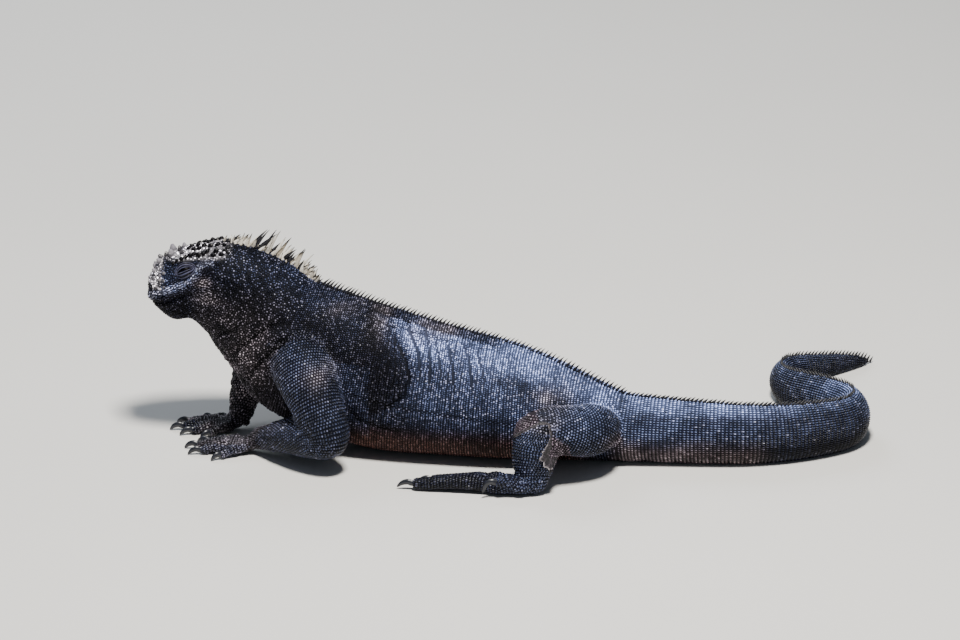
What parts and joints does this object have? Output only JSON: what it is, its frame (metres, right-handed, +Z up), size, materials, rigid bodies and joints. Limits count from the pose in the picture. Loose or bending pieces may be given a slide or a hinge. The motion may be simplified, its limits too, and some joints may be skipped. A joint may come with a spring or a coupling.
{
  "type": "marine iguana",
  "caption": "Still, life-size marine iguana lying on its belly with raised chest and head, bent limbs, a spiny crest and a tail curled in an S behind it.",
  "frame": {"origin": "on the floor under the middle of the belly, where the belly rests", "axes": "+Z up, -X towards the head, -Y towards the animal's left side"},
  "size_m": [0.5272, 0.3005, 0.1639],
  "materials": {
    "skin": "scaly, dull with a faint sheen",
    "eye": "wet gloss",
    "claw": "polished horn"
  },
  "bodies": {
    "root": {"head": "skin", "lower_jaw": "skin", "neck": "skin", "chest": "skin", "belly": "skin", "hips": "skin", "tail_1": "skin", "tail_2": "skin", "tail_3": "skin", "tail_4": "skin", "tail_5": "skin", "tail_6": "skin", "tail_7": "skin", "tail_8": "skin", "tail_9": "skin", "left_upper_arm": "skin", "left_forearm": "skin", "left_hand": "skin", "left_thigh": "skin", "left_shank": "skin", "left_foot": "skin", "right_upper_arm": "skin", "right_forearm": "skin", "right_hand": "skin", "right_thigh": "skin", "right_shank": "skin", "right_foot": "skin", "eye_left": "eye", "eye_right": "eye", "left_hand_claw_1": "claw", "left_hand_claw_2": "claw", "left_hand_claw_3": "claw", "left_hand_claw_4": "claw", "left_hand_claw_5": "claw", "left_foot_claw_1": "claw", "left_foot_claw_2": "claw", "left_foot_claw_3": "claw", "left_foot_claw_4": "claw", "left_foot_claw_5": "claw", "right_hand_claw_1": "claw", "right_hand_claw_2": "claw", "right_hand_claw_3": "claw", "right_hand_claw_4": "claw", "right_hand_claw_5": "claw", "right_foot_claw_1": "claw", "right_foot_claw_2": "claw", "right_foot_claw_3": "claw", "right_foot_claw_4": "claw", "right_foot_claw_5": "claw"}
  },
  "joints": []
}
